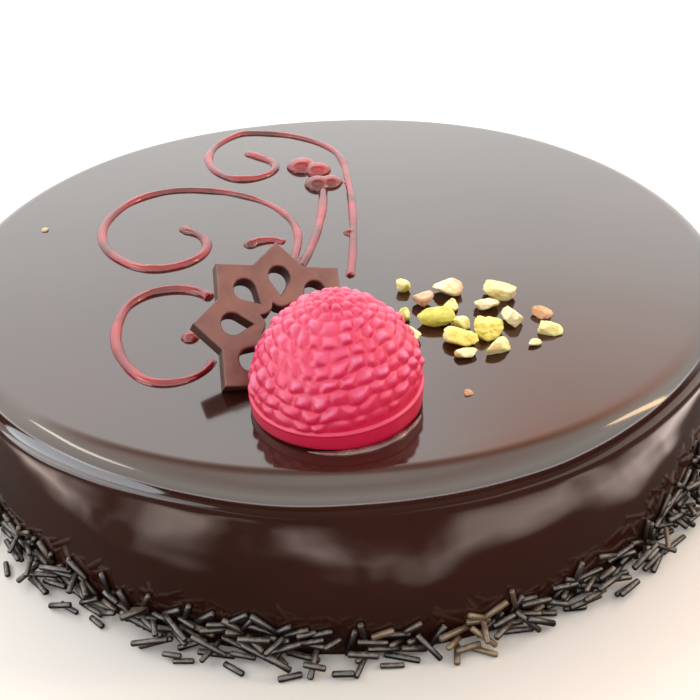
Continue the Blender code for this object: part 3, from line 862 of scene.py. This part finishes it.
def makeSeep(material):
    # A flat bead spun round the berry's foot, thinned to nothing at both ends
    bm = bmesh.new()
    bmesh.ops.create_circle(bm, cap_ends=False, segments=seep["sides"], radius=1.0)
    reach = berry["radius"] + 0.5 * seep["width"]
    size = Matrix.Diagonal((seep["width"], 1, seep["height"], 1))
    bm.transform(Matrix.Rotation(seep["from"], 4, "Z") @ Matrix.Translation((reach, 0, 0))
                 @ size @ Matrix.Rotation(math.pi / 2, 4, "X"))
    bmesh.ops.spin(bm, geom=bm.verts[:] + bm.edges[:], cent=(0, 0, 0), axis=(0, 0, 1),
                   angle=seep["to"] - seep["from"], steps=seep["steps"])
    for vert in bm.verts:
        angle = math.atan2(vert.co.y, vert.co.x)
        share = (angle - seep["from"]) / (seep["to"] - seep["from"])
        size = max(seep["thinnest"], math.sin(math.pi * min(1.0, max(0.0, share)))) ** 0.5
        size *= 1 + seep["uneven"] * noise.noise(Vector((math.cos(angle), math.sin(angle), 0)) * 6)
        away = math.hypot(vert.co.x, vert.co.y)
        vert.co.xy *= (reach + (away - reach) * size) / away
        vert.co.z *= size
    bmesh.ops.holes_fill(bm, edges=[edge for edge in bm.edges if edge.is_boundary], sides=0)
    bmesh.ops.recalc_face_normals(bm, faces=bm.faces[:])
    bm.transform(Matrix.Translation((*berry["place"], glaze["height"])))
    return newPiece("berry_syrup", bm, material, "cake")


def clearSyrup():
    # Neutral glaze brushed on as glue: clear and wet, faintly tinted by the berry above it
    return cloudyMaterial(
        "neutral_syrup", {"Roughness": 0.04, "IOR": 1.42, "Transmission Weight": 0.6},
        5, 2.0, (0.35, "#8A3A3C"), (0.65, "#B88C88"))[0]


makeSeep(clearSyrup())


# Chocolate flower

flower = {
    "petals": 8,
    "radius": 21.0 * mm,
    "thickness": 4.6 * mm,
    "bevel": 0.6 * mm,
    "bevelSteps": 3,
    "tearPoint": 7.2 * mm,
    "tearCentre": 12.0 * mm,
    "tearRadius": 2.6 * mm,
    "tearSteps": 24,
    "centreInner": 4.2 * mm,
    "centreOuter": 5.6 * mm,
    "scallop": 0.94,           # how full the centre hole's scallops are
    "weld": 0.005 * mm,
    "place": (-11.5 * mm, -63.2 * mm, 9.1 * mm),    # middle of the front face, above the glaze
    "tilt": math.radians(41),
    "uphill": math.radians(121),
    "spin": math.radians(-19),
    "toGlaze": 0.3 * mm,
    "toBerry": 0.4 * mm,
    "cutSides": 96,
    "cutSteps": 24,
    "sharpEdge": math.radians(35),
}


def addOutline(curve, points):
    spline = curve.splines.new("POLY")
    spline.points.add(len(points) - 1)
    for knot, (radius, angle) in zip(spline.points, points):
        knot.co = (radius * math.cos(angle), radius * math.sin(angle), 0, 1)
    spline.use_cyclic_u = True


def tearOutline(petalAngle):
    # A round outer end whose sides run straight in to a point
    sweep = math.pi - math.acos(flower["tearRadius"] / (flower["tearCentre"] - flower["tearPoint"]))
    points = [(flower["tearPoint"], petalAngle)]
    for step in range(flower["tearSteps"] + 1):
        turn = sweep * (2 * step / flower["tearSteps"] - 1)
        x = flower["tearCentre"] + flower["tearRadius"] * math.cos(turn)
        y = flower["tearRadius"] * math.sin(turn)
        points.append((math.hypot(x, y), petalAngle + math.atan2(y, x)))
    return points


def berrySpace():
    # The berry's outline grown by the gap to the flower, to cut the petals that lean on it
    grow = flower["toBerry"] + 0.6 * berry["relief"]
    side = berry["radius"] + flower["toBerry"]
    outline = [berryOutline(step / flower["cutSteps"]) for step in range(flower["cutSteps"] + 1)]
    profile = [(0, -2 * mm), (side, -2 * mm), (side, berry["band"])]
    profile += [(radius + grow, height) for radius, height in outline[:-1]] + [(0, outline[-1][1] + grow)]
    bm = revolved(profile, flower["cutSides"], berry["weld"])
    onGlaze(bm)
    return meshObject("berrySpace", bm)


def flowerTurn():
    return (Matrix.Rotation(flower["uphill"] - math.pi / 2, 4, "Z") @ Matrix.Rotation(flower["tilt"], 4, "X")
            @ Matrix.Rotation(flower["spin"], 4, "Z"))


def flowerShape():
    # The outline is two squares laid across each other, so each petal ends in a right angle
    curve = bpy.data.curves.new("flowerOutline", "CURVE")
    curve.dimensions = "2D"
    curve.fill_mode = "BOTH"
    curve.extrude = flower["thickness"] / 2 - flower["bevel"]
    curve.bevel_depth = flower["bevel"]
    curve.bevel_resolution = flower["bevelSteps"]
    curve.offset = -flower["bevel"]
    pitch = fullTurn / flower["petals"]
    valley = flower["radius"] * math.cos(pitch) / math.cos(pitch / 2)
    inner, outer = flower["centreInner"], flower["centreOuter"]
    scallop = flower["scallop"] * (inner + outer) / 2
    outline = []
    centre = []
    for petal in range(flower["petals"]):
        angle = petal * pitch
        outline += [(flower["radius"], angle), (valley, angle + pitch / 2)]
        centre += [(inner, angle), (scallop, angle + 0.3 * pitch), (outer, angle + 0.5 * pitch),
                   (scallop, angle + 0.7 * pitch)]
        addOutline(curve, tearOutline(angle))
    addOutline(curve, outline)
    addOutline(curve, centre)
    bm = settled(linked("flowerOutline", curve))
    bmesh.ops.remove_doubles(bm, verts=bm.verts[:], dist=flower["weld"])
    bmesh.ops.recalc_face_normals(bm, faces=bm.faces[:])
    return bm


def makeFlower(material):
    bm = flowerShape()
    lean = flowerTurn()
    x, y, rise = flower["place"]
    back = lean @ Vector((0, 0, -flower["thickness"] / 2))
    bm.transform(Matrix.Translation(Vector((x, y, glaze["height"] + rise)) + back) @ lean)
    # The low petals end flat on the glaze
    cut = bmesh.ops.bisect_plane(bm, geom=bm.verts[:] + bm.edges[:] + bm.faces[:], clear_inner=True,
                                 plane_co=(0, 0, glaze["height"] + flower["toGlaze"]), plane_no=(0, 0, 1))
    rims = [part for part in cut["geom_cut"] if isinstance(part, bmesh.types.BMEdge)]
    bmesh.ops.holes_fill(bm, edges=rims, sides=0)
    space = berrySpace()
    trimmed = modified(bm, [("BOOLEAN", {
        "operation": "DIFFERENCE", "object": space, "solver": "EXACT"})], [space])
    piece = newPiece("chocolate_flower_cast", trimmed, material, "chocolate_flower")
    piece.data.set_sharp_from_angle(angle=flower["sharpEdge"])
    return piece


def castChocolate():
    # Thin chocolate decoration from a mould: matte milk-brown faces with a light dusty bloom,
    # and painted shade that darkens the walls in the holes and round the edge
    material, tree, shader = newMaterial("cast_chocolate", {"Roughness": 0.48, "IOR": 1.46})
    surface = addNode(tree, "ShaderNodeTexCoord")
    place = surface.outputs["Object"]
    face = addRamp(tree, addNoise(tree, place, 5, 4.0), [(0.3, "#562F29"), (0.7, "#72463C")])
    # Painted shade: the more a surface turns away from the flower's faces, the nearer it comes to the dark
    # wall colour
    square = addNode(tree, "ShaderNodeVectorMath", {
        0: surface.outputs["Normal"], 1: flowerTurn() @ Vector((0, 0, 1))}, operation="DOT_PRODUCT")
    bloomAndPaintedLight = addRange(tree, square.outputs["Value"], (0.25, 0.8))
    tree.links.new(addMix(tree, bloomAndPaintedLight, "#3F211B", face), shader.inputs["Base Color"])
    addBump(tree, shader, addNoise(tree, place, 0.7, 3.0), 0.4, 0.08 * mm)
    return material


makeFlower(castChocolate())


# Studio: a pale floor, a bright wall of light behind, and softboxes that draw the rim's highlights

studio = {
    "floorSize": 8.0,
    "floor": "#EDEBE8",
    "floorLevel": -0.1 * mm,
    "backdropLight": 1.3,      # as bright as the lit floor, so that no seam shows between them
    "peak": 14.0,              # radiance that a full colour in the stops below stands for
    # Radiance against the sine of the elevation: the space before the cake as it lights matte
    # things and as gloss shows it, then the space behind the cake and its warmer right half
    "front": ((0.0, (0.5, 0.49, 0.48)), (0.4, (0.85, 0.84, 0.83)), (0.8, (1.0, 0.98, 0.96)),
              (1.0, (0.9, 0.88, 0.86))),
    "frontGloss": ((0.0, (0.04, 0.04, 0.04)), (0.24, (0.1, 0.09, 0.08)), (0.27, (8.5, 8.5, 8.7)),
                   (0.29, (8.0, 8.0, 8.0)), (0.32, (4.0, 4.05, 3.8)), (0.6, (4.9, 4.9, 4.5)),
                   (0.93, (3.4, 3.1, 2.8)), (1.0, (4.0, 3.9, 3.7))),
    "back": ((0.0, (1.7, 1.72, 1.7)), (0.28, (2.4, 2.48, 2.45)), (0.5, (3.6, 3.7, 3.65)),
             (0.68, (5.2, 5.2, 5.1)), (0.74, (3.2, 2.9, 2.6)), (0.81, (1.5, 1.1, 0.9)),
             (0.93, (1.4, 1.0, 0.8)), (0.97, (3.0, 2.8, 2.6)), (1.0, (4.0, 3.9, 3.7))),
    "backRight": ((0.0, (1.7, 1.72, 1.7)), (0.28, (2.4, 2.48, 2.45)), (0.45, (3.3, 3.3, 3.2)),
                  (0.56, (3.7, 3.1, 2.8)), (0.68, (4.5, 2.9, 2.4)), (0.76, (3.6, 2.1, 1.4)),
                  (0.84, (1.8, 1.1, 0.8)), (0.95, (1.6, 1.0, 0.8)), (1.0, (4.0, 3.9, 3.7))),
    "behind": (0.1, 0.5),      # over these Y and X of a direction the parts above blend
    "aside": (0.02, 0.24),
    # Softboxes: place, the point they face, width, height, radiance and whether only gloss sees them
    "softboxes": (
        ("left", (-1.03, -0.13, 0.94), (0, 0, 0.04), 0.8, 0.09, (15.0, 14.0, 12.5), False),
        ("left_low", (-0.30, -0.20, 0.045), (-0.05, -0.1, 0.045), 0.26, 0.16, (6.2, 6.8, 7.2), True),
        ("left_floor", (-0.2, -0.19, 0.001), (-0.2, -0.19, 1), 0.2, 0.24, (3.0, 3.2, 3.3), True),
        ("right", (1.2, 0.0, 0.72), (0, 0, 0.04), 0.15, 0.66, (18.0, 12.0, 6.0), False),
    ),
    # Cards on the floor that only reflections see. The dark ones keep the glossy wall deep, and
    # the ring of light on the round one draws the mottled band across it
    "card": "#333333",
    "frontCard": ((0, -2.15, 0.05 * mm), (4.4, 3.9, 1, 1)),    # place and size
    "roundCard": ((0, 0, 0.1 * mm), 0.2),    # place and radius
    "ring": ((0.130, 0.0), (0.136, 1.0), (0.142, 0.8), (0.150, 0.0)),    # distance out, share of light
    "ringLight": 2.9,
    "ringColour": "#FFEADF",
    "ringMottle": 48,          # millimetres
    "ringBend": 68.57,         # millimetres, the size of the bends in the ring
    "ringStray": 0.04,         # how far it bends
}


def makeWorld():
    world = bpy.data.worlds.new("studio")
    bpy.context.scene.world = world
    world.use_nodes = True
    tree = world.node_tree
    tree.nodes.clear()
    ray = addNode(tree, "ShaderNodeTexCoord").outputs["Generated"]
    axis = addNode(tree, "ShaderNodeSeparateXYZ", {0: ray})
    path = addNode(tree, "ShaderNodeLightPath")
    shades = {}
    for name in ("front", "frontGloss", "back", "backRight"):
        shades[name] = addRamp(tree, axis.outputs["Z"], [
            (place, [c / studio["peak"] for c in colour] + [1.0]) for place, colour in studio[name]])
    front = addMix(tree, path.outputs["Is Glossy Ray"], shades["front"], shades["frontGloss"])
    aside = addRange(tree, axis.outputs["X"], studio["aside"], interpolation="SMOOTHSTEP")
    behind = addRange(tree, axis.outputs["Y"], studio["behind"], interpolation="SMOOTHSTEP")
    light = addMix(tree, behind, front, addMix(tree, aside, shades["back"], shades["backRight"]))
    lit = addNode(tree, "ShaderNodeBackground", {"Color": light, "Strength": studio["peak"]})
    plain = addNode(tree, "ShaderNodeBackground", {"Color": linear(studio["floor"]),
                                                   "Strength": studio["backdropLight"]})
    both = addNode(tree, "ShaderNodeMixShader", {0: path.outputs["Is Camera Ray"], 1: lit.outputs[0],
                                                 2: plain.outputs[0]})
    addNode(tree, "ShaderNodeOutputWorld", {"Surface": both.outputs[0]})


def addSoftbox(name, place, target, width, height, radiance, glossOnly):
    light = bpy.data.lights.new(name, "AREA")
    light.shape = "ELLIPSE"
    light.size = width
    light.size_y = height
    peak = max(radiance)
    light.color = [c / peak for c in radiance]
    light.energy = peak * math.pi * (math.pi / 4 * width * height)
    box = linked(name, light)
    facing = (Vector(target) - Vector(place)).to_track_quat("-Z", "Y").to_matrix().to_4x4()
    box.matrix_world = Matrix.Translation(place) @ facing
    box.visible_camera = False
    box.visible_diffuse = not glossOnly


def makeFloor():
    bm = bmesh.new()
    bmesh.ops.create_grid(bm, x_segments=1, y_segments=1, size=studio["floorSize"] / 2)
    floor = meshObject("floor", bm)
    floor.location.z = studio["floorLevel"]
    # Smooth matte paper
    material = newMaterial("matte_paper", {"Base Color": linear(studio["floor"]), "Roughness": 0.9})[0]
    floor.data.materials.append(material)


def addCard(name, bm, material):
    card = meshObject(name, bm)
    card.visible_camera = card.visible_diffuse = card.visible_shadow = card.visible_transmission = False
    card.data.materials.append(material)


def litPaper():
    # Dark paper with a bent, mottled ring of light on it
    material, tree, shader = newMaterial("lit_paper", {
        "Base Color": linear(studio["card"]), "Roughness": 0.9,
        "Emission Color": linear(studio["ringColour"])})
    place = addNode(tree, "ShaderNodeTexCoord").outputs["Object"]
    away = addNode(tree, "ShaderNodeVectorMath", {0: place}, operation="LENGTH").outputs["Value"]
    half = studio["ringStray"] / 2
    bend = addRange(tree, addNoise(tree, place, studio["ringBend"]), (0.0, 1.0), (-half, half))
    ring = addRamp(tree, addMath(tree, "ADD", away, bend),
                   [(reach, (share, share, share, 1)) for reach, share in studio["ring"]])
    patches = addRange(tree, addNoise(tree, place, studio["ringMottle"], 3.0), (0.4, 0.55),
                       (0.02 * studio["ringLight"], studio["ringLight"]))
    tree.links.new(addMath(tree, "MULTIPLY", ring, patches), shader.inputs["Emission Strength"])
    return material


def makeCards():
    # Plain dark paper
    dark = newMaterial("dark_paper", {"Base Color": linear(studio["card"]), "Roughness": 0.9})[0]
    place, size = studio["frontCard"]
    bm = bmesh.new()
    bmesh.ops.create_grid(bm, x_segments=1, y_segments=1, size=0.5,
                          matrix=Matrix.Translation(place) @ Matrix.Diagonal(size))
    addCard("front_card", bm, dark)
    place, radius = studio["roundCard"]
    bm = bmesh.new()
    bmesh.ops.create_circle(bm, cap_ends=True, segments=96, radius=radius, matrix=Matrix.Translation(place))
    addCard("round_card", bm, litPaper())


makeWorld()
for softbox in studio["softboxes"]:
    addSoftbox(*softbox)
makeFloor()
makeCards()
bpy.context.scene.view_settings.view_transform = "Standard"
print("studio lit")
